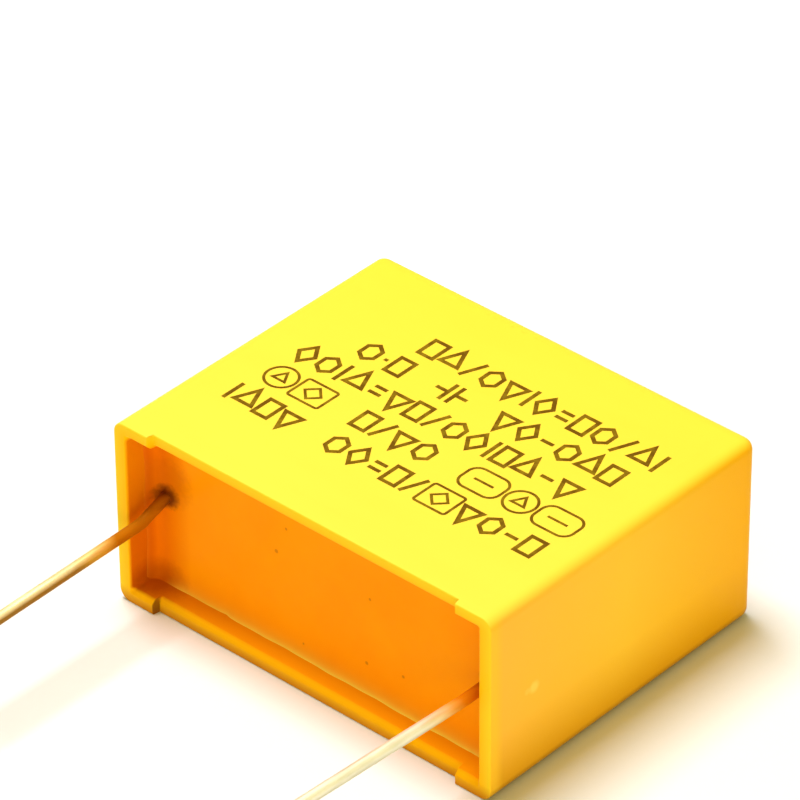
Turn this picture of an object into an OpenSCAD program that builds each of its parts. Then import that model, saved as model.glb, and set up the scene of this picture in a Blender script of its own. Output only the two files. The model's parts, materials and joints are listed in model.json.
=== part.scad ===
// Box film capacitor. A flattened film winding has a sprayed metal contact and a wire on each
// end, and is cast in resin inside a moulded box. The box lies on one of its large faces, with
// its length along X. Its open end, its feet and its wires face -Y. Sizes are in millimetres.

/* [Box] */
// Height of the box, from the feet to the closed end
case_height = 25.7; // [18:0.1:40]
// Thickness of the box, from one large face to the other
case_thickness = 14.2; // [9:0.1:20]
// Distance from the axis of each wire to the nearer end of the box
case_margin = 2.25; // [1.9:0.05:4]
// Thickness of the two end walls
end_wall = 1.05; // [0.6:0.05:1.3]
// Thickness of the two large walls
side_wall = 1.1; // [0.7:0.05:1.8]
// Thickness of the closed end
closed_wall = 1.2; // [0.8:0.05:2.5]
// Radius of the outer edges, all but those of the rim
edge_radius = 0.85; // [0.3:0.05:1.2]
// Radius of the four corners inside the walls
inner_radius = 0.3; // [0.1:0.05:0.6]
// Bevel along the inner edge of the rim of the large walls
rim_bevel = 0.35; // [0.1:0.05:0.6]

/* [Feet] */
// Height of the corner feet over the rim between them
foot_height = 0.5; // [0.2:0.05:1.2]
// Length of each foot, from the end of the box to the step
foot_length = 3; // [1.8:0.1:8]

/* [Resin] */
// Depth of the resin below the plane of the feet
resin_recess = 2.5; // [1.4:0.1:4]
// Height to which the resin climbs up the walls
wall_rise_height = 0.55; // [0.2:0.05:0.8]
// Distance from a wall at which the resin starts to climb
wall_rise_width = 0.75; // [0.5:0.05:1.5]
// Height to which the resin climbs up a wire
wire_rise_height = 0.2; // [0.1:0.05:0.5]
// Distance from a wire at which the resin starts to climb
wire_rise_width = 0.35; // [0.2:0.05:0.6]
// Slope of the resin where it starts to climb, in degrees
toe_angle = 8; // [4:1:15]

/* [Winding] */
// Resin between the winding and the large walls
winding_gap = 0.4; // [0.2:0.05:1.5]
// Resin between the winding and the closed end
winding_bed = 0.5; // [0.2:0.05:2]
// Resin over the side of the winding that faces the open end
winding_cover = 1.6; // [0.8:0.1:3]
// Thickness of the sprayed metal on each end of the winding
spray_thickness = 0.6; // [0.3:0.05:1]

/* [Wires] */
// Distance between the axes of the two wires
lead_pitch = 27.5; // [15:0.5:37.5]
// Diameter of the wires
lead_diameter = 0.8; // [0.5:0.1:1]
// Length of the wires past the feet
lead_length = 20; // [5:0.5:40]
// Length of wire that lies on the sprayed contact
lead_overlap = 8; // [5:0.5:11]
// Depth to which each wire is pressed into the sprayed metal
lead_sink = 0.1; // [0.05:0.05:0.3]
// Radius of the bends in the wires, at the wire's axis
bend_radius = 0.9; // [0.6:0.1:2]
// Height at which the left wire leaves the resin, over the middle of the box
left_offset = 0.75; // [-2:0.05:2]
// Distance from the ring of resin round the left wire to the wire's first bend
left_bend_start = 0.05; // [0.05:0.05:0.5]
// Slope of the left wire just outside the resin, in degrees
left_jog_angle = -20; // [-35:1:-5]
// Length of the left wire's sloping stretch
left_jog_length = 2; // [0.3:0.05:2.5]
// Slope of the left wire outside the box, in degrees
left_tilt = -1; // [-4:0.5:4]
// Height at which the right wire leaves the resin, over the middle of the box
right_offset = -0.1; // [-2:0.05:2]
// Distance from the ring of resin round the right wire to the wire's bend
right_bend_start = 2.45; // [0.4:0.05:3]
// Slope of the right wire outside the resin, in degrees
right_tilt = 3.5; // [0.5:0.5:8]

/* [Solder] */
// Radius of each solder joint on the sprayed metal
solder_radius = 1.6; // [1:0.1:2.5]
// Solder over the top of the wire
solder_cover = 0.3; // [0.1:0.05:0.4]
// Distance from the inner end of the wire to the middle of the joint
solder_inset = 1.9; // [1:0.1:3]

/* [Hidden] */
$fn = 64;
// How far a cutting shape runs past what it cuts
past = 0.5;
// Largest turn at one knee of a bend in a wire, in degrees
knee_turn = 6;
// How far the ball in a knee stands out of the wire, so that their surfaces cross
knee_bead = 0.002;

case_length = lead_pitch + 2 * case_margin;
feet_y = -case_height / 2;
closed_y = case_height / 2;
rim_y = feet_y + foot_height;
floor_y = closed_y - closed_wall;
middle_z = case_thickness / 2;

cavity_length = case_length - 2 * end_wall;
cavity_thickness = case_thickness - 2 * side_wall;
rim_gap_length = case_length - 2 * foot_length;

resin_y = feet_y + resin_recess;

lead_radius = lead_diameter / 2;
spray_face_x = lead_pitch / 2 - lead_radius + lead_sink;
winding_length = 2 * (spray_face_x - spray_thickness);
winding_thickness = cavity_thickness - 2 * winding_gap;
winding_near_y = resin_y + winding_cover;
winding_far_y = floor_y - winding_bed;
winding_height = winding_far_y - winding_near_y;
winding_y = (winding_near_y + winding_far_y) / 2;

lead_end_y = winding_near_y + lead_overlap;
ring_y = resin_y - wire_rise_height;
left_bend_y = ring_y - left_bend_start;
right_bend_y = ring_y - right_bend_start;
solder_height = lead_diameter - lead_sink + solder_cover;
solder_ball_radius = (solder_radius ^ 2 + solder_height ^ 2) / (2 * solder_height);

// Distance along -Y that a bend covers as the wire's slope goes from one angle to another
function bend_travel(from, to) = bend_radius * abs(sin(to) - sin(from));

// Length of a straight stretch from y to the free end
function free_length(y, tilt) = (y - (feet_y - lead_length)) / cos(tilt);

// Number of equal knees that make up a bend
function knees(turn) = max(1, ceil(abs(turn) / knee_turn));

// Distance from a knee to the points where the straight pieces beside it touch the bend's arc
function knee_reach(turn) = bend_radius * tan(abs(turn) / knees(turn) / 2);

// Each run lists the lengths of a wire's straight stretches with the turn that follows each
left_run = [
    [lead_end_y - left_bend_y, left_jog_angle],
    [left_jog_length, left_tilt - left_jog_angle],
    [free_length(left_bend_y - bend_travel(0, left_jog_angle) - bend_travel(left_jog_angle, left_tilt)
                 - left_jog_length * cos(left_jog_angle), left_tilt), 0]
];
right_run = [
    [lead_end_y - right_bend_y, right_tilt],
    [free_length(right_bend_y - bend_travel(0, right_tilt), right_tilt), 0]
];

// The same run with every bend split into its knees, which lie along its arc
function split_bends(run) = [
    for (i = [0 : len(run) - 1])
        let (turn = run[i][1], before = i == 0 ? 0 : knee_reach(run[i - 1][1]), after = knee_reach(turn))
            for (k = [1 : knees(turn)])
                [k == 1 ? before + run[i][0] + after : 2 * after, turn / knees(turn)]
];

// Block from y = 0 with its length along X centred and its lower face at z = 0. Its long edges
// and its far edges are rounded by r, and its near face is flat
module rounded_block(length, height, thickness, r) {
    x = length / 2 - r;
    y = height - r;
    for (part = [[x, y, thickness, 0], [length / 2, y, thickness - 2 * r, r],
                 [x, height, thickness - 2 * r, r]])
        translate([-part[0], 0, part[3]]) cube([2 * part[0], part[1], part[2]]);
    for (z = [r, thickness - r]) {
        for (side = [-1, 1]) {
            translate([side * x, 0, z]) rotate([-90, 0, 0]) cylinder(r = r, h = y);
            translate([side * x, y, z]) sphere(r);
        }
        translate([-x, y, z]) rotate([0, 90, 0]) cylinder(r = r, h = 2 * x);
    }
    for (side = [-1, 1])
        translate([side * x, y, r]) cylinder(r = r, h = thickness - 2 * r);
}

// Rectangle with its corners rounded by r, centred on the origin
module rounded_rectangle(width, depth, r) {
    square([width - 2 * r, depth], center = true);
    square([width, depth - 2 * r], center = true);
    for (x = [-1, 1], y = [-1, 1])
        translate([x * (width / 2 - r), y * (depth / 2 - r)]) circle(r);
}

// Space inside the walls, from the closed end to past the feet
module cavity() {
    translate([0, floor_y, middle_z]) rotate([90, 0, 0])
        linear_extrude(floor_y - feet_y + past)
            rounded_rectangle(cavity_length, cavity_thickness, inner_radius);
}

// Cuts the bevels inside the rim at y, over a length that is centred on the box
module rim_bevels(y, length) {
    outside = [y - past, side_wall - rim_bevel - past];
    inside = [y + rim_bevel + past, side_wall + past];
    for (side = [0, 1])
        translate([-length / 2, 0, side * case_thickness]) mirror([0, 0, side])
            rotate([90, 0, 90]) linear_extrude(length)
                polygon([outside, inside, [outside[0], inside[1]]]);
}

module case() {
    color("gold") difference() {
        translate([0, feet_y, 0])
            rounded_block(case_length, case_height, case_thickness, edge_radius);
        cavity();
        translate([-rim_gap_length / 2, feet_y - past, -past])
            cube([rim_gap_length, foot_height + past, case_thickness + 2 * past]);
        rim_bevels(rim_y, rim_gap_length);
        rim_bevels(feet_y, cavity_length - 4 * inner_radius);
    }
}

// Section under resin that climbs from its level, y = 0, up a wall or a wire at x = 0
module climb(rise, reach) {
    chord_angle = atan(rise / reach);
    r = norm([rise, reach]) / (2 * sin(chord_angle - toe_angle));
    difference() {
        translate([-past, -past]) square([reach + past, rise + 2 * past]);
        translate([reach + r * sin(toe_angle), r * cos(toe_angle)]) circle(r);
    }
}

// Section through the resin between two walls, with its level at y = 0 and its depth below
module trough(width, depth) {
    translate([-width / 2, -depth]) square([width, depth]);
    for (side = [0, 1])
        mirror([side, 0]) translate([-width / 2, 0]) climb(wall_rise_height, wall_rise_width);
}

// Resin as it was poured, before what it holds is taken out
module poured_resin() {
    depth = floor_y - resin_y;
    intersection() {
        cavity();
        union() {
            translate([0, resin_y, middle_z]) rotate([180, 0, 0])
                linear_extrude(cavity_thickness, center = true) trough(cavity_length, depth);
            translate([0, resin_y, middle_z]) rotate([180, 90, 0])
                linear_extrude(cavity_length, center = true) trough(cavity_thickness, depth);
        }
    }
}

// Ring of resin that climbs up a wire
module collar(x, offset) {
    translate([x, resin_y, middle_z + offset]) rotate([90, 0, 0])
        rotate_extrude() intersection() {
            translate([lead_radius, 0]) climb(wire_rise_height, wire_rise_width);
            translate([0, -past]) square([lead_radius + wire_rise_width, wire_rise_height + past]);
        }
}

module potting() {
    color("orange") difference() {
        union() {
            poured_resin();
            collar(-lead_pitch / 2, left_offset);
            collar(lead_pitch / 2, right_offset);
        }
        roll(0, 2 * spray_face_x);
        for (side = [-1, 1]) solder_cap(side);
        wire_left();
        wire_right();
    }
}

// Stretch of the flattened roll, with its middle at x
module roll(x, length) {
    flat = winding_height - winding_thickness;
    translate([x, winding_y, middle_z]) rotate([0, 90, 0]) linear_extrude(length, center = true) {
        square([winding_thickness, flat], center = true);
        for (side = [-1, 1]) translate([0, side * flat / 2]) circle(d = winding_thickness);
    }
}

module winding() {
    color("gainsboro") roll(0, winding_length);
}

// Sprayed metal on one end of the roll, before the wire is pressed in
module spray(side) {
    roll(side * (spray_face_x - spray_thickness / 2), spray_thickness);
}

module end_spray_left() {
    color("darkgray") difference() {
        spray(-1);
        wire_left();
    }
}

module end_spray_right() {
    color("darkgray") difference() {
        spray(1);
        wire_right();
    }
}

// Cap of solder over the wire, on the sprayed face
module solder_cap(side) {
    offset = side < 0 ? left_offset : right_offset;
    sunk = solder_ball_radius - solder_height;
    intersection() {
        translate([side * (spray_face_x - sunk), lead_end_y - solder_inset, middle_z + offset])
            rotate([0, 90, 0]) sphere(solder_ball_radius);
        translate([side * (spray_face_x + solder_height), lead_end_y, middle_z])
            cube([2 * solder_height, 2 * case_height, 2 * case_thickness], center = true);
    }
}

module solder_left() {
    color("silver") difference() {
        solder_cap(-1);
        wire_left();
    }
}

module solder_right() {
    color("silver") difference() {
        solder_cap(1);
        wire_right();
    }
}

// Wire that starts along +Z and turns towards +Y, or towards -Y at a negative turn
module wire(run, i = 0) {
    cylinder(r = lead_radius, h = run[i][0]);
    if (i < len(run) - 1)
        translate([0, 0, run[i][0]]) {
            sphere(lead_radius + knee_bead);
            rotate([-run[i][1], 0, 0]) wire(run, i + 1);
        }
}

module wire_left() {
    translate([-lead_pitch / 2, lead_end_y, middle_z + left_offset]) rotate([90, 0, 0])
        wire(split_bends(left_run));
}

module wire_right() {
    translate([lead_pitch / 2, lead_end_y, middle_z + right_offset]) rotate([90, 0, 0])
        wire(split_bends(right_run));
}

module lead_left() {
    color("lightgray") wire_left();
}

module lead_right() {
    color("lightgray") wire_right();
}

case();
potting();
winding();
end_spray_left();
end_spray_right();
solder_left();
solder_right();
lead_left();
lead_right();
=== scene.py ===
import json
import bpy
import numpy as np
from mathutils import Euler, Matrix, Vector


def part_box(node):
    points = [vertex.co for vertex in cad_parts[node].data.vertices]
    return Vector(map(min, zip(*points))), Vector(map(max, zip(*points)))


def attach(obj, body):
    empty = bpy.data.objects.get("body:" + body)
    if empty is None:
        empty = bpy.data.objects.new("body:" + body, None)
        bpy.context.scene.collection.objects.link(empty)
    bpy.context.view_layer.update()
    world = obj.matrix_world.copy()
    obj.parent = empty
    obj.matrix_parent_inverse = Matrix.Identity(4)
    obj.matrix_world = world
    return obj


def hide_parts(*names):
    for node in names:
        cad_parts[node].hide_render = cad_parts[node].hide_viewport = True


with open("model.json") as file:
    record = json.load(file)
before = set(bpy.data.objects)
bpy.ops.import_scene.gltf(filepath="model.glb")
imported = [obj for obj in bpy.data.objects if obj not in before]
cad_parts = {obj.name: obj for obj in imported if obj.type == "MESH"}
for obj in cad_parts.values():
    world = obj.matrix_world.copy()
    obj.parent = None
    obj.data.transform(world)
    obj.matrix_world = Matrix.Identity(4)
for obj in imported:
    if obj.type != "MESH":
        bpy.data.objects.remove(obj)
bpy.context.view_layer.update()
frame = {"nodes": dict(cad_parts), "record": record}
mm = 0.001


# Camera. It looks down on the printed face from the side of the open end and the right wire,
# through a long lens, and leans a little to one side.
camera_azimuth = np.radians(42.145)
camera_elevation = np.radians(35.51)
camera_roll = np.radians(-0.39)
camera_target = Vector((-4.577, 1.780, 13.293)) * mm
camera_distance = 380 * mm

camera_data = bpy.data.cameras.new("camera")
camera_data.sensor_width = 36
camera_data.lens = 266.3
camera = bpy.data.objects.new("camera", camera_data)
bpy.context.collection.objects.link(camera)
upright = Euler((np.pi / 2 - camera_elevation, 0, camera_azimuth)).to_matrix()
camera_turn = upright @ Matrix.Rotation(camera_roll, 3, "Z")
camera_place = camera_target + camera_turn @ Vector((0, 0, camera_distance))
camera.matrix_world = Matrix.Translation(camera_place) @ camera_turn.to_4x4()
bpy.context.scene.camera = camera


# Box. It is one injection moulding in satin yellow plastic, open at one end, with round outer
# edges, thin walls of nearly one thickness, and a notch in the rim of both large walls that leaves
# four feet. Its large walls have sunk a little between their edges as the plastic cooled.
end_wall = 1.05 * mm
side_wall = 1.1 * mm
closed_wall = 1.2 * mm
edge_radius = 0.85 * mm
inner_radius = 0.3 * mm
foot_height = 0.5 * mm
foot_length = 3 * mm
step_width = 0.14 * mm
rim_bevel = 0.35 * mm
end_bevel = 0.12 * mm
rim_round = 0.09 * mm
bevel_round = 0.05 * mm
ink_room = 0.02 * mm
wall_sink = 0.03 * mm
sink_margin = 1.2 * mm

case_low, case_high = (np.array(corner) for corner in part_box("case"))
middle = (case_low + case_high) / 2
half = (case_high - case_low) / 2
feet_y, closed_y = case_low[1], case_high[1]
notch_x = half[0] - foot_length
low_corner = (case_low[0] + end_wall, feet_y + 2 * mm, case_low[2] + side_wall + 0.1 * mm)
corner_shade_size = np.array([1.3, 1.6, 0.7]) * mm


def smooth(t):
    """Rises from 0 to 1 as t does, level at both ends: 3t^2 - 2t^3."""
    t = np.clip(t, 0, 1)
    return t * t * (3 - 2 * t)


def grid_faces(rows, columns, closed=True):
    """Quads between the points of a grid stored row by row. Where it is closed, its last column
    meets the first."""
    last = columns if closed else columns - 1
    row, column = np.meshgrid(np.arange(rows - 1), np.arange(last), indexing="ij")
    beside = (column + 1) % columns
    quads = [row * columns + column, row * columns + beside,
             (row + 1) * columns + beside, (row + 1) * columns + column]
    return np.stack(quads, axis=-1).reshape(-1, 4)


def new_piece(name, points, faces, material, slot, smooth_faces=True):
    """Piece from an array of points and a list of faces, riding on the object."""
    mesh = bpy.data.meshes.new(name)
    mesh.from_pydata(np.asarray(points).reshape(-1, 3).tolist(), [], [list(face) for face in faces])
    mesh.polygons.foreach_set("use_smooth", np.full(len(mesh.polygons), smooth_faces))
    mesh.materials.append(material)
    mesh.update()
    piece = bpy.data.objects.new(name, mesh)
    bpy.context.collection.objects.link(piece)
    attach(piece, "root")
    return piece


def give_value(piece, name, values):
    """Stores a number at each point of a piece, which its material reads by name."""
    stored = piece.data.attributes.new(name, "FLOAT", "POINT")
    stored.data.foreach_set("value", np.ravel(values).astype(np.float32))


def box_outline():
    """Columns round the box, as parts of a rounded rectangle in X and Z. Each column has the sign
    of the corner centre that it follows, a place along its straight side, and the direction that
    it faces. The columns lie close together at the steps of the notch."""
    step = notch_x + np.linspace(-0.6, 0.6, 13) * step_width
    side = np.concatenate([np.linspace(0, notch_x - 0.4 * mm, 24), step,
                           [notch_x + 0.4 * mm, notch_x + 0.9 * mm]])
    along = np.concatenate([-side[:0:-1], side])
    up = np.linspace(-5, 5, 17) * mm
    arc = np.radians(np.linspace(0, 90, 9))
    corner, place, facing = [], [], []
    for quarter in range(4):
        straight = along if quarter % 2 == 0 else up
        start = quarter * np.pi / 2 - np.pi / 2
        out = np.array([np.cos(start), np.sin(start)])
        way = np.array([-out[1], out[0]])
        corner += [np.tile(out, (len(straight), 1)), np.tile(out + way, (len(arc), 1))]
        place += [straight[:, None] * way, np.zeros((len(arc), 2))]
        facing += [np.tile(out, (len(straight), 1)),
                   np.stack([np.cos(start + arc), np.sin(start + arc)], axis=1)]
    return np.concatenate(corner), np.concatenate(place), np.concatenate(facing)


column_corner, column_place, column_facing = box_outline()


def outline_points(half_x, half_z, radius):
    """Points round a rounded rectangle: corner centre, plus place, plus radius times direction."""
    centre = np.array([half_x - radius, half_z - radius])
    return column_corner * centre + column_place + radius * column_facing


def wall_sunk(x, y):
    """How far the large walls have sunk at x, y: wall_sink times 1 - (x / reach)^2 times
    1 - (y / reach)^2, each from the middle, and nothing past either reach."""
    across = np.clip(1 - ((x - middle[0]) / (half[0] - edge_radius)) ** 2, 0, 1)
    down = np.clip(1 - ((y - middle[1]) / (half[1] - sink_margin)) ** 2, 0, 1)
    return wall_sink * across * down


# The upper face lies lower by ink_room, so that the print on it stays within the box's size.
outer = outline_points(half[0], half[2] - ink_room / 2, edge_radius) - [0, ink_room / 2]
inner = outline_points(half[0] - end_wall, half[2] - side_wall, inner_radius)
column_x = outer[:, 0]
wall = np.where(column_facing[:, 1] ** 2 > 0.5, side_wall, end_wall)
on_large_wall = smooth(1.6 * np.abs(column_facing[:, 1]) - 0.6)
lift = foot_height * smooth((notch_x - np.abs(column_x)) / step_width + 0.5)
bevel = end_bevel + (rim_bevel - end_bevel) * on_large_wall
rim_y = feet_y + lift

# The rings run from the closed end over its round edge, along the outer walls, over the rim and
# its bevel, and back along the inner walls. Each holds how far through the wall it lies, from 0
# outside to 1 inside, its y, and how far it is drawn in at the closed end.
rings = []
for angle in np.radians(np.linspace(88, 0, 10)):
    drawn_in = edge_radius * (1 - np.cos(angle))
    rings.append((0, closed_y - edge_radius * (1 - np.sin(angle)), drawn_in))
wall_start = closed_y - edge_radius
wall_length = wall_start - rim_y - rim_round
for t in np.concatenate([[0.01], np.linspace(0.04, 0.94, 22), [0.975, 0.992]]):
    rings.append((0, wall_start - wall_length * t, 0))
for angle in np.radians(np.linspace(0, 90, 6)):
    rings.append((rim_round * (1 - np.cos(angle)) / wall, rim_y + rim_round * (1 - np.sin(angle)), 0))
flat_start = rim_round / wall
flat_end = 1 - (bevel + bevel_round) / wall
for t in (0.2, 0.5, 0.8):
    rings.append((flat_start + (flat_end - flat_start) * t, rim_y, 0))
for t in np.linspace(-1, 1, 5):
    # round between the rim and the bevel
    rings.append((1 - (bevel - bevel_round * t) / wall, rim_y + bevel_round * (1 + t) ** 2 / 4, 0))
for t in (0.25, 0.5, 0.75):
    down = bevel * t + bevel_round * (1 - 2 * t)
    rings.append((1 - (bevel - down) / wall, rim_y + down, 0))
for t in np.linspace(-1, 1, 5):
    # round between the bevel and the inner wall
    rings.append((1 - bevel_round * (1 - t) ** 2 / 4 / wall, rim_y + bevel + bevel_round * t, 0))
inside_start = rim_y + bevel + bevel_round
inside_length = closed_y - closed_wall - inside_start
for t in (0.02, 0.06, 0.12, 0.3, 0.6, 1):
    rings.append((1, inside_start + inside_length * t, 0))

case_points = []
for through, y, drawn_in in rings:
    flat = outer - drawn_in * column_facing + (inner - outer) * np.reshape(through, (-1, 1))
    level = np.broadcast_to(y, len(flat))
    if np.all(np.equal(through, 0)):
        sunk = wall_sunk(middle[0] + column_x, level)
        flat = flat - sunk[:, None] * column_facing * [0, 1]
    case_points.append(np.stack([middle[0] + flat[:, 0], level, middle[2] + flat[:, 1]], axis=1))
case_points = np.array(case_points)
ring_count, column_count = case_points.shape[:2]
throughs = np.array([np.broadcast_to(through, column_count) for through, y, drawn_in in rings])
case_faces = grid_faces(ring_count, column_count).tolist()
case_faces.append(list(range(column_count))[::-1])
case_faces.append(list(range((ring_count - 1) * column_count, ring_count * column_count)))


def add_node(tree, kind, inputs=(), **settings):
    """Adds a shader node. Inputs maps a socket's name or number to a value or to another socket."""
    made = tree.nodes.new(kind)
    for key, value in settings.items():
        setattr(made, key, value)
    for key, value in dict(inputs).items():
        if isinstance(value, bpy.types.NodeSocket):
            tree.links.new(value, made.inputs[key])
        else:
            made.inputs[key].default_value = value
    return made


def new_material(name, **inputs):
    """Material with one Principled shader, its constant inputs set by name."""
    material = bpy.data.materials.new(name)
    material.use_nodes = True
    shader = material.node_tree.nodes["Principled BSDF"]
    for key, value in inputs.items():
        shader.inputs[key.replace("_", " ")].default_value = value
    return material, material.node_tree, shader


def object_coordinates(tree, scale=1000.0, centre=(0, 0, 0)):
    """The point on the object, measured from centre in metres, and scaled, by default to millimetres."""
    place = add_node(tree, "ShaderNodeTexCoord").outputs["Object"]
    scales = np.broadcast_to(scale, 3)
    moved = {"Vector": place, "Scale": tuple(scales), "Location": tuple(-scales * np.array(centre))}
    return add_node(tree, "ShaderNodeMapping", moved).outputs["Vector"]


def noise(tree, vector, scale, detail):
    """Noise between 0 and 1, with scale waves to each unit of the vector and finer ones to detail."""
    inputs = {"Vector": vector, "Scale": scale, "Detail": detail}
    return add_node(tree, "ShaderNodeTexNoise", inputs).outputs["Fac"]


def spread(tree, value, low, high, to_low=0.0, to_high=1.0):
    """Carries value from the range low to high over to the range to_low to to_high, and clamps it."""
    inputs = {"Value": value, "From Min": low, "From Max": high, "To Min": to_low, "To Max": to_high}
    return add_node(tree, "ShaderNodeMapRange", inputs).outputs["Result"]


def maths(tree, operation, *values):
    """One step of arithmetic on numbers or sockets."""
    return add_node(tree, "ShaderNodeMath", dict(enumerate(values)), operation=operation).outputs[0]


def blend_colours(tree, share, first, second):
    """Colour that goes from first to second as share goes from 0 to 1."""
    colours = [each + (1,) if isinstance(each, tuple) else each for each in (first, second)]
    mix = add_node(tree, "ShaderNodeMix", {0: share, 6: colours[0], 7: colours[1]}, data_type="RGBA")
    return mix.outputs[2]


def spot(tree, centre, size, edge, ragged):
    """1 inside an ellipsoid of the given half sizes, falling to 0 past it over edge, a share of its
    size. Ragged shakes its outline by a fine noise."""
    offset = object_coordinates(tree, 1 / np.broadcast_to(size, 3), centre)
    length = add_node(tree, "ShaderNodeVectorMath", {0: offset}, operation="LENGTH").outputs["Value"]
    shake = noise(tree, object_coordinates(tree), 3.0, 3.0)
    length = maths(tree, "MULTIPLY_ADD", maths(tree, "SUBTRACT", shake, 0.5), ragged, length)
    return spread(tree, length, 1.0, 1.0 + edge, 1.0, 0.0)


def bump(tree, shader, height, distance):
    """Raises the surface by height times distance."""
    inputs = {"Height": height, "Distance": distance, "Strength": 1.0}
    made = add_node(tree, "ShaderNodeBump", inputs)
    tree.links.new(made.outputs["Normal"], shader.inputs["Normal"])


def stain_or_shade(tree, colour, spot_colour, amount, centre, size, edge, ragged):
    """Colour with a spot of another colour over it, whose share is at most amount. It paints stains,
    pale spots and painted shade.
    """
    share = maths(tree, "MULTIPLY", spot(tree, centre, size, edge, ragged), amount)
    return blend_colours(tree, share, colour, spot_colour)


def case_material():
    """Yellow plastic, with light and shade painted into its colour. The large faces are painted pale,
    the end walls warmer and darker low down, the rim golden and darker low down, the edges that the
    box lies on dark, and the inside painted deep orange, where light has passed from wall to wall, and
    darker to the left. Faint flow marks and a fine skin cover it. The end walls are painted paler next
    to the open end and darker towards the closed one, a pale spot and a fainter one mark the right
    wall, and the left end has painted shade in its lower corner and at its notch."""
    material, tree, shader = new_material("case_plastic", IOR=1.5, Specular_IOR_Level=0.06,
                                          Specular_Tint=(1.0, 0.72, 0.12, 1))
    vector = object_coordinates(tree)
    normal = add_node(tree, "ShaderNodeTexCoord").outputs["Normal"]
    upward = add_node(tree, "ShaderNodeSeparateXYZ", {0: normal}).outputs["Z"]
    across, forward, height = add_node(tree, "ShaderNodeSeparateXYZ", {0: vector}).outputs
    through = add_node(tree, "ShaderNodeAttribute", attribute_name="through").outputs["Fac"]

    # end walls, with painted light and shade that change from the open end to the closed one, darker
    # towards the closed one and in their low part, and a painted highlight next to the open end; then
    # pale spots on the right wall
    open_end, middle_end, closed_end = (0.98, 0.51, 0.052), (0.97, 0.565, 0.034), (0.93, 0.44, 0.001)
    colour = blend_colours(tree, spread(tree, forward, -12.0, 0.0), open_end, middle_end)
    colour = blend_colours(tree, spread(tree, forward, 0.0, 12.0), colour, closed_end)
    # painted shade on the low part of the walls
    low_part = spread(tree, height, 0.6, 5.0, 0.85, 0.0)
    colour = blend_colours(tree, low_part, colour, (0.75, 0.34, 0.001))
    # painted highlight along the end walls next to the open end
    mouth_edge = spread(tree, forward, feet_y / mm + 0.5, feet_y / mm + 1.2, 0.8, 0.0)
    colour = blend_colours(tree, mouth_edge, colour, (1.0, 0.57, 0.03))
    # a pale spot and a fainter one on the right wall
    for pale_spot_y, pale_spot_size, amount in ((-8.75, 0.24, 0.8), (-9.4, 0.14, 0.35)):
        pale_spot_centre = (case_high[0], pale_spot_y * mm, 6.85 * mm)
        colour = stain_or_shade(tree, colour, (1.0, 0.7, 0.12), amount, pale_spot_centre, pale_spot_size * mm, 1.3, 0.5)

    # large walls, painted paler than the end walls for the light that falls on them, and a little
    # paler towards the open end
    front_colour, back_colour = (0.97, 0.68, 0.066), (0.97, 0.66, 0.046)
    large_colour = blend_colours(tree, spread(tree, forward, -12.0, 12.0), front_colour, back_colour)
    large_face = spread(tree, maths(tree, "ABSOLUTE", upward), 0.35, 0.95)
    colour = blend_colours(tree, large_face, colour, large_colour)

    # rim, painted golden from its outer edge to its inner one and darker low down, and painted shade
    # on the edges that the box lies on
    rim_outer, rim_inner = (0.92, 0.63, 0.018), (1.0, 0.53, 0.003)
    rim_colour = blend_colours(tree, spread(tree, through, 0.1, 0.75), rim_outer, rim_inner)
    low_rim = spread(tree, height, 0.1, 1.2, 1.0, 0.0)
    rim_colour = blend_colours(tree, low_rim, rim_colour, (0.58, 0.19, 0.002))
    colour = blend_colours(tree, spread(tree, through, 0.0, 0.1), colour, rim_colour)
    low_edge = maths(tree, "MULTIPLY", spread(tree, height, 0.15, 1.0, 0.9, 0.0),
                     spread(tree, through, 0.0, 0.1, 1.0, 0.0))
    colour = blend_colours(tree, low_edge, colour, (0.25, 0.1, 0.002))

    # inside, painted deep orange for the light passed from wall to wall, and with painted shade that is
    # darker to the left and most on the left wall
    left_x = case_low[0] / mm
    near_left = spread(tree, across, left_x + 1.5, -2.0, 0.6, 0.0)
    inside = blend_colours(tree, near_left, (0.93, 0.38, 0.002), (0.68, 0.2, 0.001))
    low_colour, high_colour = (0.66, 0.16, 0.001), (0.74, 0.24, 0.001)
    left_colour = blend_colours(tree, spread(tree, height, 5.0, 11.0), low_colour, high_colour)
    left_wall = spread(tree, across, left_x + 1.1, left_x + 1.4, 1.0, 0.0)
    inside = blend_colours(tree, left_wall, inside, left_colour)
    # painted shade in the lower left inner corner
    inside = stain_or_shade(tree, inside, (0.42, 0.08, 0.001), 0.75, low_corner, corner_shade_size, 1.6, 0.6)
    colour = blend_colours(tree, spread(tree, through, 0.85, 1.0), colour, inside)

    # painted shade at the left end of the lower notch, and flow marks over all
    notch_shade_centre = (-notch_x, feet_y + 0.25 * mm, 0.45 * mm)
    notch_shade_size = np.array([0.09, 0.35, 0.6]) * mm
    colour = stain_or_shade(tree, colour, (0.16, 0.05, 0.004), 0.85, notch_shade_centre, notch_shade_size, 0.9, 0.5)
    flow = noise(tree, object_coordinates(tree, (90.0, 300.0, 200.0)), 1.0, 3.0)
    colour = blend_colours(tree, spread(tree, flow, 0.4, 0.75, 0.0, 0.08), colour, (0.9, 0.5, 0.02))
    tree.links.new(colour, shader.inputs["Base Color"])

    grain = noise(tree, vector, 5.0, 3.0)
    wave = noise(tree, vector, 0.35, 1.0)
    tree.links.new(spread(tree, grain, 0.3, 0.7, 0.34, 0.44), shader.inputs["Roughness"])
    bump(tree, shader, maths(tree, "MULTIPLY_ADD", grain, 0.12, wave), 0.02 * mm)
    return material


case = new_piece("moulded_box", case_points, case_faces, case_material(), "case_plastic")
give_value(case, "through", throughs)
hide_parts("case")


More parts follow.
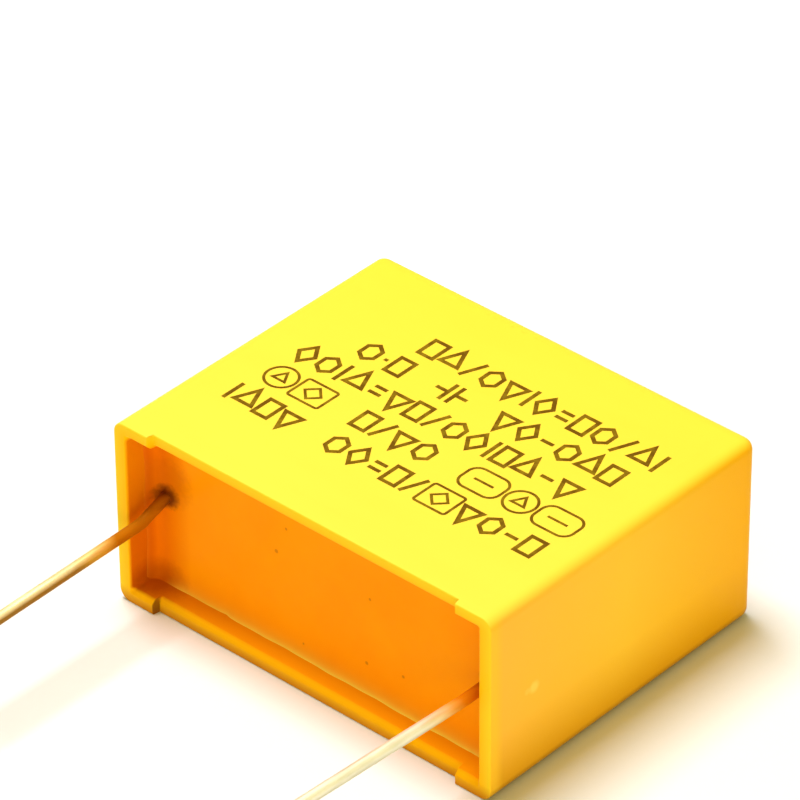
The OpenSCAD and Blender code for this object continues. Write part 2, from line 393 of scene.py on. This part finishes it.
# Cast resin. It was poured in as a liquid and has set hard and smooth in the mouth of the box. It
# climbed the walls and the wires before it set, highest on the left wall. It is dark round the
# wires, and a few specks of dirt are cast in. A highlight along the walls and shade along the left
# end and in the lower left corner are painted on it.
resin_low, resin_high = (np.array(corner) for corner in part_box("potting"))
resin_y = resin_low[1] + 0.55 * mm
left_wall_rise = 0.95 * mm
right_wall_rise = 0.6 * mm
side_rise_left = 0.42 * mm
side_rise_right = 0.54 * mm
wall_reach = 0.42 * mm
edge_reach = 0.12 * mm
wire_rise = 0.24 * mm
wire_reach = 0.16 * mm
into_wall = 0.02 * mm
resin_sag = 0.05 * mm
break_x = -8.6 * mm
break_width = 0.25 * mm
left_highlight_share = 0.06
left_edge_reach = 0.06 * mm
# x, z and half size of each speck, in millimetres
specks = [(-4.3, 8.1, 0.11), (-3.4, 10.3, 0.08), (3.7, 8.3, 0.08), (3.4, 3.1, 0.09),
          (-2.0, 1.9, 0.07), (6.5, 3.6, 0.08)]
wire_radius = frame["record"]["mounts"][0]["dims"]["r_mm"] * mm
left_low, left_high = (np.array(corner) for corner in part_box("lead_left"))
right_low, right_high = (np.array(corner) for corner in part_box("lead_right"))
left_exit = np.array([(left_low[0] + left_high[0]) / 2, left_high[2] - wire_radius])
right_exit = np.array([(right_low[0] + right_high[0]) / 2, right_low[2] + wire_radius])


def crowded(low, high, centres, finest, widest):
    """Values from low to high that lie close together at both ends and round each centre: their
    spacing is finest plus 0.16 times the distance to the nearest of these, and at most widest."""
    marks = np.linspace(low, high, 4001)
    near = np.min([np.abs(marks - centre) for centre in (low, high, *centres)], axis=0)
    spacing = np.clip(finest + 0.16 * near, finest, widest)
    count = np.concatenate([[0], np.cumsum(np.diff(marks) / spacing[1:])])
    return np.interp(np.linspace(0, count[-1], int(count[-1]) + 2), count, marks)


def resin_surface():
    """Points of the resin's face on a grid over the mouth of the box, and the share of painted
    highlight at each, from 0 to 1. The rise is the root of the summed squares of the rises at the
    ends, the sides and each wire, and each of those falls off as exp(-distance / reach). The ends and
    the sides have slow sine waves in theirs, the sides also have one small break, and the middle sags
    by a product of two sines. The painted highlight along the sides is 0.65 exp(-distance / edge_reach)
    plus 0.35 exp(-distance / (3 edge_reach)) and fades to the left, and the left end has a faint one."""
    xs = crowded(resin_low[0] - into_wall, resin_high[0] + into_wall, (left_exit[0], right_exit[0]),
                 0.02 * mm, 0.4 * mm)
    zs = crowded(resin_low[2] - into_wall, resin_high[2] + into_wall, (left_exit[1], right_exit[1]),
                 0.02 * mm, 0.3 * mm)
    x, z = np.meshgrid(xs, zs, indexing="ij")
    across = (x - xs[0]) / (xs[-1] - xs[0])
    up = (z - zs[0]) / (zs[-1] - zs[0])
    wander = 1 + 0.06 * np.sin(x / mm * 0.9 + 1) + 0.04 * np.sin(x / mm * 2.3 + up)
    wander -= 0.2 * np.exp(-((x - break_x) / break_width) ** 2)
    end_rise = left_wall_rise + (right_wall_rise - left_wall_rise) * across
    end_rise *= 1 + 0.08 * np.sin(z / mm * 1.1)
    side_rise = (side_rise_left + (side_rise_right - side_rise_left) * across) * wander
    from_ends = np.minimum(x - resin_low[0], resin_high[0] - x).clip(0)
    from_sides = np.minimum(z - resin_low[2], resin_high[2] - z).clip(0)
    squares = (end_rise * np.exp(-from_ends / wall_reach)) ** 2
    squares += (side_rise * np.exp(-from_sides / wall_reach)) ** 2
    for wire_exit in (left_exit, right_exit):
        from_wire = (np.hypot(x - wire_exit[0], z - wire_exit[1]) - wire_radius).clip(0)
        squares += (wire_rise * np.exp(-from_wire / wire_reach)) ** 2
    rise = np.sqrt(squares)
    sag = resin_sag * np.sin(np.pi * across) * np.sin(np.pi * up)
    # painted highlight where the resin climbs the sides, and a faint one at the left end
    edge_share = 0.65 * np.exp(-from_sides / edge_reach) + 0.35 * np.exp(-from_sides / (3 * edge_reach))
    edge_share *= smooth((x - resin_low[0] - 0.8 * mm) / (2 * mm))
    edge_share *= 0.6 + 0.4 * smooth((x - resin_low[0]) / (14 * mm))
    from_left = (x - resin_low[0]).clip(0)
    edge_share = np.maximum(edge_share, left_highlight_share * np.exp(-from_left / left_edge_reach))
    return np.stack([x, resin_y - rise + sag, z], axis=-1), edge_share


# The border of the face is carried straight back to the far end of the resin, where it is closed.
resin_face, meniscus_highlight = resin_surface()
nx, nz = resin_face.shape[:2]
index = np.arange(nx * nz).reshape(nx, nz)
border = np.concatenate([index[:-1, 0], index[-1, :-1], index[:0:-1, -1], index[0, :0:-1]])
face_points = resin_face.reshape(-1, 3)
back_points = face_points[border] * [1, 0, 1] + [0, resin_high[1], 0]
resin_points = np.concatenate([face_points, back_points])
back = nx * nz + np.arange(len(border))
skirt = np.stack([border, back, np.roll(back, -1), np.roll(border, -1)], axis=1)
resin_faces = grid_faces(nx, nz, closed=False)[:, ::-1].tolist() + skirt.tolist() + [back[::-1].tolist()]


def resin_material():
    """Smooth orange resin with a slow unevenness. It has a painted yellow highlight along the walls,
    where it climbs them, painted shade along the left end and in the lower left corner, dark brown
    round the wires and red brown above the left one, and a few dark specks."""
    material, tree, shader = new_material("resin", IOR=1.5, Roughness=0.24, Specular_IOR_Level=0.02,
                                          Specular_Tint=(1.0, 0.42, 0.02, 1))
    vector = object_coordinates(tree)
    cloud = noise(tree, vector, 0.22, 3.0)
    colour = blend_colours(tree, spread(tree, cloud, 0.35, 0.7), (1.0, 0.33, 0.0005), (0.98, 0.3, 0.0003))
    # painted shade along the left end, in two layers
    left_side = (resin_low[0], resin_y, middle[2])
    for depth, edge, ragged, amount, left_colour in (
            (0.9, 2.4, 0.3, 0.9, (0.76, 0.16, 0.0003)),
            (0.14, 2.0, 0.4, 0.7, (0.6, 0.11, 0.0003))):
        left_size = np.array([depth, 3, 12]) * mm
        colour = stain_or_shade(tree, colour, left_colour, amount, left_side, left_size, edge, ragged)
    # painted shade in the lower left corner
    colour = stain_or_shade(tree, colour, (0.45, 0.09, 0.001), 0.65, low_corner, corner_shade_size, 1.6, 0.6)
    # dark brown round the wires, and red brown above the left one
    for wire_exit, rise, size, amount, wire_dark_colour in (
            (left_exit, 1.4, 1.1, 0.5, (0.55, 0.12, 0.001)),
            (left_exit, 0, 0.5, 0.95, (0.13, 0.025, 0.002)),
            (right_exit, 0, 0.45, 0.6, (0.3, 0.07, 0.002))):
        wire_dark_centre = (wire_exit[0], resin_y, wire_exit[1] + rise * mm)
        wire_dark_size = np.array([size, 2, size]) * mm
        colour = stain_or_shade(tree, colour, wire_dark_colour, amount, wire_dark_centre, wire_dark_size, 1.2, 0.9)
    for speck_x, speck_z, speck_size in specks:
        speck_centre = (speck_x * mm, resin_y, speck_z * mm)
        colour = stain_or_shade(tree, colour, (0.35, 0.07, 0.002), 0.5, speck_centre, speck_size * mm, 0.8, 0.8)
    # painted highlight along the walls where the resin climbs them
    pale_share = add_node(tree, "ShaderNodeAttribute", attribute_name="meniscus_highlight").outputs["Fac"]
    colour = blend_colours(tree, pale_share, colour, (1.0, 0.8, 0.13))
    tree.links.new(colour, shader.inputs["Base Color"])
    bump(tree, shader, noise(tree, vector, 0.5, 2.0), 0.03 * mm)
    return material


resin = new_piece("cast_resin", resin_points, resin_faces, resin_material(), "resin")
give_value(resin, "meniscus_highlight", np.concatenate([meniscus_highlight.ravel(), np.zeros(len(border))]))
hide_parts("potting")


# Wires. Both are drawn copper wire with a dull tin coat, cut square. The left one is pressed down
# just outside the resin and then runs straight, and the right one leans up.
cut_round = 0.05 * mm
left_straight = 0.25 * mm
right_straight = 2.65 * mm
left_bends = [(-20, 1.73 * mm, 0.9 * mm), (19, None, 2.5 * mm)]
right_bends = [(3.5, None, 0.9 * mm)]


def wire_path(start, first_length, bends, end_y):
    """Points and slopes along a wire that starts along -Y. Each bend has an angle in degrees, which
    its arc adds to the slope, the length of the straight stretch after it, and a radius. The last
    stretch has no length of its own and ends at end_y."""
    position, slope = start + np.array([0, -first_length, 0]), 0.0
    points, slopes = [start, position], [slope, slope]
    for degrees, length, bend_radius in bends:
        bend = np.radians(degrees)
        steps = np.linspace(0, 1, 9)[1:]
        angles = slope + bend * steps
        side = np.sign(bend) * bend_radius
        along = side * (np.sin(angles) - np.sin(slope))
        height = side * (np.cos(slope) - np.cos(angles))
        arc = position + np.stack([0 * along, -along, height], axis=1)
        points += list(arc)
        slopes += list(angles)
        position, slope = arc[-1], slope + bend
        if length is None:
            length = (position[1] - end_y) / np.cos(slope)
        direction = np.array([0, -np.cos(slope), np.sin(slope)])
        for t in np.linspace(0, 1, 2 + int(length / (2 * mm)))[1:]:
            points.append(position + direction * length * t)
            slopes.append(slope)
        position = points[-1]
    return np.array(points), np.array(slopes)


def tube(points, slopes, radius):
    """Round bar along a path that lies in an X plane: each ring is the path's point plus radius
    times cos(u) along X and sin(u) across the path. Its ends are rounded off over cut_round."""
    columns = 32
    around = np.linspace(0, 2 * np.pi, columns, endpoint=False)
    angles = np.radians([80, 55, 30, 0])
    cap_radii = radius - cut_round * (1 - np.cos(angles))
    set_back = cut_round * (1 - np.sin(angles))[:, None]
    first_way, last_way = [np.array([0, -np.cos(slope), np.sin(slope)]) for slope in slopes[[0, -1]]]
    first_cap = points[0] + first_way * set_back
    last_cap = points[-1] - last_way * set_back
    radii = np.concatenate([cap_radii, np.full(len(points) - 2, radius), cap_radii[::-1]])
    points = np.concatenate([first_cap, points[1:-1], last_cap[::-1]])
    slopes = np.concatenate([np.full(4, slopes[0]), slopes[1:-1], np.full(4, slopes[-1])])
    across = np.stack([0 * slopes, np.sin(slopes), np.cos(slopes)], axis=1)
    rings = points[:, None] + radii[:, None, None] * (
        np.cos(around)[None, :, None] * np.array([1, 0, 0]) + np.sin(around)[None, :, None] * across[:, None])
    faces = grid_faces(len(points), columns).tolist()
    faces.append(list(range(columns))[::-1])
    faces.append(list(range((len(points) - 1) * columns, len(points) * columns)))
    return rings, faces


def wire_material(name, bright, dull, below, stain, stain_end, stain_fade, under_range, under_share):
    """Dull tin coat with fine drawing lines along the wire and greyer patches. Flux has stained it
    as far as stain_end past the resin and fades to gold over stain_fade, and it is dark brown at
    the resin, partly a dark residue and partly a painted reflection of the dark mouth of the box. It
    takes the colour below, up to under_share, as the Z of its normal falls through under_range: this
    is painted shade and dark reflection on its underside."""
    material, tree, shader = new_material(name, Roughness=0.42, Specular_IOR_Level=0.02)
    lines = noise(tree, object_coordinates(tree, (9000.0, 250.0, 9000.0)), 1.0, 2.0)
    patches = noise(tree, object_coordinates(tree, (1500.0, 350.0, 1500.0)), 1.0, 3.0)
    colour = blend_colours(tree, spread(tree, patches, 0.35, 0.7), bright, dull)
    forward = add_node(tree, "ShaderNodeSeparateXYZ", {0: object_coordinates(tree)}).outputs["Y"]
    shaken = maths(tree, "MULTIPLY_ADD", maths(tree, "SUBTRACT", patches, 0.5), 1.5, forward)
    last_stain, fade = (resin_y - stain_end) / mm, stain_fade / mm
    flux_share = spread(tree, shaken, last_stain - fade, last_stain, 0.0, 0.99)
    normal = add_node(tree, "ShaderNodeTexCoord").outputs["Normal"]
    upward = add_node(tree, "ShaderNodeSeparateXYZ", {0: normal}).outputs["Z"]
    # painted shade and dark reflection on the underside
    underside = spread(tree, upward, *under_range, under_share, 0.0)
    colour = blend_colours(tree, underside, colour, below)
    gold_share = spread(tree, shaken, last_stain - 1.6 * fade, last_stain - 0.3 * fade, 0.0, 0.9)
    colour = blend_colours(tree, gold_share, colour, (0.85, 0.52, 0.08))
    colour = blend_colours(tree, flux_share, colour, stain)
    # dark brown at the resin: partly residue, partly a painted reflection of the mouth of the box
    root = spread(tree, shaken, (resin_y - 1.3 * mm) / mm, resin_y / mm)
    colour = blend_colours(tree, root, colour, (0.13, 0.03, 0.004))
    tree.links.new(colour, shader.inputs["Base Color"])
    dulled = maths(tree, "MAXIMUM", underside, flux_share)
    tree.links.new(spread(tree, dulled, 0.0, 0.8, 0.75, 0.05), shader.inputs["Metallic"])
    bump(tree, shader, lines, 0.02 * mm)
    return material


golden_tin = wire_material("golden_tin", (0.93, 0.82, 0.52), (0.7, 0.58, 0.32), (0.28, 0.13, 0.008),
                           (0.42, 0.13, 0.001), 4.9 * mm, 2.4 * mm, (0.35, 0.9), 0.95)
white_tin = wire_material("white_tin", (0.94, 0.91, 0.84), (0.76, 0.74, 0.66), (0.52, 0.5, 0.38),
                          (0.68, 0.2, 0.001), 2.7 * mm, 2.5 * mm, (-0.3, 0.35), 0.7)
for side_name, wire_exit, wire_start_y, straight, bends, tin in (
        ("left", left_exit, left_high[1], left_straight, left_bends, golden_tin),
        ("right", right_exit, right_high[1], right_straight, right_bends, white_tin)):
    wire_start = np.array([wire_exit[0], wire_start_y, wire_exit[1]])
    pin = frame["record"]["mounts"][0 if side_name == "left" else 1]
    pin_end = np.array(pin["pos_m"]) + np.array(pin["axis"]) * pin["dims"]["length_mm"] * mm / 2
    path, path_slopes = wire_path(wire_start, wire_start_y - resin_y + straight, bends, pin_end[1])
    wire = new_piece(side_name + "_wire", *tube(path, path_slopes, wire_radius), tin, "tinned_wire")
    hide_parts("lead_" + side_name)


# Winding, sprayed contacts and solder. They are sealed in the resin: a flattened roll of coated
# film, a rough grey metal spray on each of its ends, and a drop of solder over each wire.
def sealed_material(name, colour, darker, scale, **inputs):
    """Metal or film whose colour and height follow one noise of that scale."""
    material, tree, shader = new_material(name, **inputs)
    pattern = noise(tree, object_coordinates(tree), scale, 4.0)
    mixed = blend_colours(tree, spread(tree, pattern, 0.3, 0.7), colour, darker)
    tree.links.new(mixed, shader.inputs["Base Color"])
    bump(tree, shader, pattern, 0.05 * mm)
    return material


finishes = {
    "winding": sealed_material("film", (0.74, 0.76, 0.78), (0.6, 0.62, 0.65), 0.4,
                               Roughness=0.25, Metallic=0.6),
    "end_spray": sealed_material("sprayed_zinc", (0.46, 0.46, 0.47), (0.3, 0.3, 0.31), 6.0,
                                 Roughness=0.8),
    "solder": sealed_material("solder", (0.68, 0.68, 0.67), (0.5, 0.5, 0.5), 1.5,
                              Roughness=0.22, Metallic=1.0),
}
for node_name, node_object in frame["nodes"].items():
    for first_part, finish in finishes.items():
        if node_name.startswith(first_part):
            node_object.data.materials.clear()
            node_object.data.materials.append(finish)


# Print. It is a thin layer of brown ink on the upper large face: five rows of plain outlines, bars
# and dashes, with a few framed marks and the sign for a pair of plates. It says nothing.
ink_height = 0.012 * mm
ink_depth = 0.06 * mm
ink_stroke = 0.3 * mm
fine_stroke = 0.2 * mm
mark_gap = 0.5 * mm


def loop(sides, wide, tall, turn=0):
    """Closed outline with points at equal angles on an ellipse of the given half width and height."""
    angles = np.radians(turn) + np.linspace(0, 2 * np.pi, sides, endpoint=False)
    return np.stack([wide * np.cos(angles), tall * np.sin(angles)], axis=1) * mm, True


def line(*points):
    """Open line through points."""
    return np.array(points) * mm, False


def frame_outline(wide, tall, radius):
    """Closed rounded rectangle: a corner centre plus radius times (cos, sin) in each quarter."""
    angles = np.radians(np.concatenate([np.linspace(start, start + 90, 9) for start in (0, 90, 180, 270)]))
    signs = np.repeat([(1, 1), (-1, 1), (-1, -1), (1, -1)], 9, axis=0)
    centres = signs * (wide - radius, tall - radius)
    return (centres + radius * np.stack([np.cos(angles), np.sin(angles)], axis=1)) * mm, True


def stroke(points, closed, width):
    """Flat ribbon of ink along a line: its two sides are the line's points plus and minus half the
    width times the mitre, which is the sum of both neighbouring normals over 1 + their product. It
    reaches from ink_depth under the printed face to ink_height over it."""
    before = points - np.roll(points, 1, axis=0)
    after = np.roll(points, -1, axis=0) - points
    if not closed:
        before[0], after[-1] = after[0], before[-1]
    normals = [np.stack([-way[:, 1], way[:, 0]], axis=1) / np.linalg.norm(way, axis=1)[:, None]
               for way in (before, after)]
    mitre = (normals[0] + normals[1]) / (1 + np.sum(normals[0] * normals[1], axis=1))[:, None]
    sides = [points + mitre * width / 2, points - mitre * width / 2]
    rings = []
    for side, lift in ((sides[0], -ink_depth), (sides[0], ink_height), (sides[1], ink_height),
                       (sides[1], -ink_depth)):
        face_height = case_high[2] - ink_room - wall_sunk(side[:, 0], side[:, 1])
        rings.append(np.column_stack([side, face_height + lift]))
    rings = np.stack(rings, axis=1)
    count = len(rings)
    faces = (grid_faces(count + closed, 4) % (4 * count)).tolist()
    if not closed:
        faces += [[3, 2, 1, 0], [4 * count - 4, 4 * count - 3, 4 * count - 2, 4 * count - 1]]
    return rings.reshape(-1, 3), faces


# Each mark has its half width and its lines, round its own centre. Each row has its y, the x at
# which it starts, and its marks.
marks = {
    "bar": (0.12, [line((0, -1), (0, 1))]),
    "slash": (0.45, [line((-0.42, -1), (0.42, 1))]),
    "dash": (0.5, [line((-0.5, 0), (0.5, 0))]),
    "pair": (0.5, [line((-0.5, 0.35), (0.5, 0.35)), line((-0.5, -0.35), (0.5, -0.35))]),
    "dot": (0.14, [line((0, -0.14), (0, 0.14))]),
    "box": (0.55, [loop(4, 0.6 * 2 ** 0.5, 0.88 * 2 ** 0.5, 45)]),
    "diamond": (0.65, [loop(4, 0.68, 1.0)]),
    "hexagon": (0.68, [loop(6, 0.7, 0.92, 30)]),
    "peak": (0.7, [loop(3, 0.85, 1.15, 90)]),
    "drop": (0.7, [loop(3, 0.85, 1.15, -90)]),
    "plates": (1.1, [line((-1.3, 0), (-0.3, 0)), line((-0.3, -1), (-0.3, 1)), line((0.3, -1), (0.3, 1)),
                     line((0.3, 0), (1.3, 0))]),
    "ringed": (1.05, [loop(40, 1.15, 1.15), loop(3, 0.6, 0.6, 90)]),
    "framed": (1.5, [frame_outline(1.6, 1.15, 0.8), line((-0.8, 0), (0.8, 0))]),
    "tiled": (1.2, [frame_outline(1.3, 1.1, 0.2), loop(4, 0.7, 0.7)]),
    "blank": (0.9, []),
}
rows = [
    (6.5, -6.4, "box peak slash hexagon drop bar diamond pair box hexagon slash peak bar"),
    (3.6, -9.4, "hexagon dot box blank plates blank drop diamond dash hexagon peak box"),
    (0.7, -12.3, "diamond hexagon bar peak pair drop box slash hexagon diamond bar box peak dash drop"),
    (-2.3, -12.2, "ringed tiled blank box slash drop hexagon blank framed ringed framed"),
    (-5.4, -12.6, "bar peak box drop blank hexagon diamond pair box slash tiled drop hexagon dash box"),
]

ink_points, ink_faces = [], []
for row_y, row_x, names in rows:
    cursor = row_x * mm
    for mark in names.split():
        half_width, lines = marks[mark]
        centre = np.array([cursor + half_width * mm, row_y * mm])
        cursor += 2 * half_width * mm + mark_gap
        for points, closed in lines:
            pen = fine_stroke if mark in ("ringed", "framed", "tiled") else ink_stroke
            ribbon, ribbon_faces = stroke(points + centre, closed, pen)
            ink_faces += [[point + len(ink_points) for point in face] for face in ribbon_faces]
            ink_points += ribbon.tolist()


def ink_material():
    """Matt brown ink, thinner and paler in places."""
    material, tree, shader = new_material("brown_ink", Roughness=0.6, Specular_IOR_Level=0.05)
    pale_share = noise(tree, object_coordinates(tree), 1.6, 4.0)
    colour = blend_colours(tree, spread(tree, pale_share, 0.4, 0.75), (0.14, 0.066, 0.001), (0.27, 0.165, 0.004))
    tree.links.new(colour, shader.inputs["Base Color"])
    bump(tree, shader, noise(tree, object_coordinates(tree), 8.0, 2.0), 0.004 * mm)
    return material


new_piece("brown_print", ink_points, ink_faces, ink_material(), "case_plastic", smooth_faces=False)


# Floor and light. The box lies on white paper that runs far past it, under a white tent. A large
# soft lamp hangs high on the left, and a wide warm one stands low in front. The tent is white to
# look at and bright in reflections, but it lights the box dimly, warmly and mostly from overhead.
paper_half = 3.0
glow_start, glow_full = 30.0, 60.0
lamps = {
    "soft_lamp": ((-0.14, 0.01, 0.55), 0.21, 0.25, 3.7, (0.93, 0.92, 1.0)),
    "low_fill": ((0.45, -0.4, 0.08), 1.4, 0.32, 3.9, (1.0, 0.88, 0.3)),
}

paper_corners = [(x * paper_half, y * paper_half, 0) for x, y in ((-1, -1), (1, -1), (1, 1), (-1, 1))]
paper_mesh = bpy.data.meshes.new("paper")
paper_mesh.from_pydata(paper_corners, [], [(0, 1, 2, 3)])
paper = bpy.data.objects.new("paper", paper_mesh)
bpy.context.collection.objects.link(paper)
paper_white, paper_tree, paper_shader = new_material("paper_white", Roughness=0.9, Specular_IOR_Level=0.1,
                                                     Emission_Color=(1, 1, 1, 1))
paper_vector = object_coordinates(paper_tree)
fibres = noise(paper_tree, paper_vector, 2.0, 3.0)
paper_colour = blend_colours(paper_tree, fibres, (0.81, 0.81, 0.81), (0.83, 0.83, 0.83))
paper_tree.links.new(paper_colour, paper_shader.inputs["Base Color"])
from_middle = add_node(paper_tree, "ShaderNodeVectorMath", {0: paper_vector}, operation="LENGTH")
far_out = spread(paper_tree, from_middle.outputs["Value"], glow_start, glow_full)
seen = add_node(paper_tree, "ShaderNodeLightPath").outputs["Is Camera Ray"]
glow = maths(paper_tree, "MULTIPLY", far_out, seen)
paper_tree.links.new(glow, paper_shader.inputs["Emission Strength"])
paper_mesh.materials.append(paper_white)

tent = bpy.data.worlds.new("tent")
tent.use_nodes = True
tent_tree = tent.node_tree
background = tent_tree.nodes["Background"]
way = add_node(tent_tree, "ShaderNodeTexCoord").outputs["Generated"]
overhead = add_node(tent_tree, "ShaderNodeSeparateXYZ", {0: way}).outputs["Z"]
strength = spread(tent_tree, overhead, 0.0, 1.0, 0.05, 0.6)
rays = add_node(tent_tree, "ShaderNodeLightPath").outputs
for kind in ("Is Camera Ray", "Is Glossy Ray", "Is Transmission Ray"):
    strength = maths(tent_tree, "MAXIMUM", strength, rays[kind])
tent_tree.links.new(strength, background.inputs["Strength"])
tint = blend_colours(tent_tree, rays["Is Camera Ray"], (1.0, 0.9, 0.42), (1.0, 1.0, 1.0))
tent_tree.links.new(tint, background.inputs["Color"])
bpy.context.scene.world = tent

for lamp_name, (lamp_place, lamp_width, lamp_depth, lamp_energy, lamp_colour) in lamps.items():
    lamp_data = bpy.data.lights.new(lamp_name, "AREA")
    lamp_data.shape = "RECTANGLE"
    lamp_data.size = lamp_width
    lamp_data.size_y = lamp_depth
    lamp_data.energy = lamp_energy
    lamp_data.color = lamp_colour
    lamp = bpy.data.objects.new(lamp_name, lamp_data)
    lamp.location = lamp_place
    lamp.rotation_euler = (-Vector(lamp_place)).to_track_quat("-Z", "Y").to_euler()
    bpy.context.collection.objects.link(lamp)
bpy.context.scene.view_settings.view_transform = "Standard"
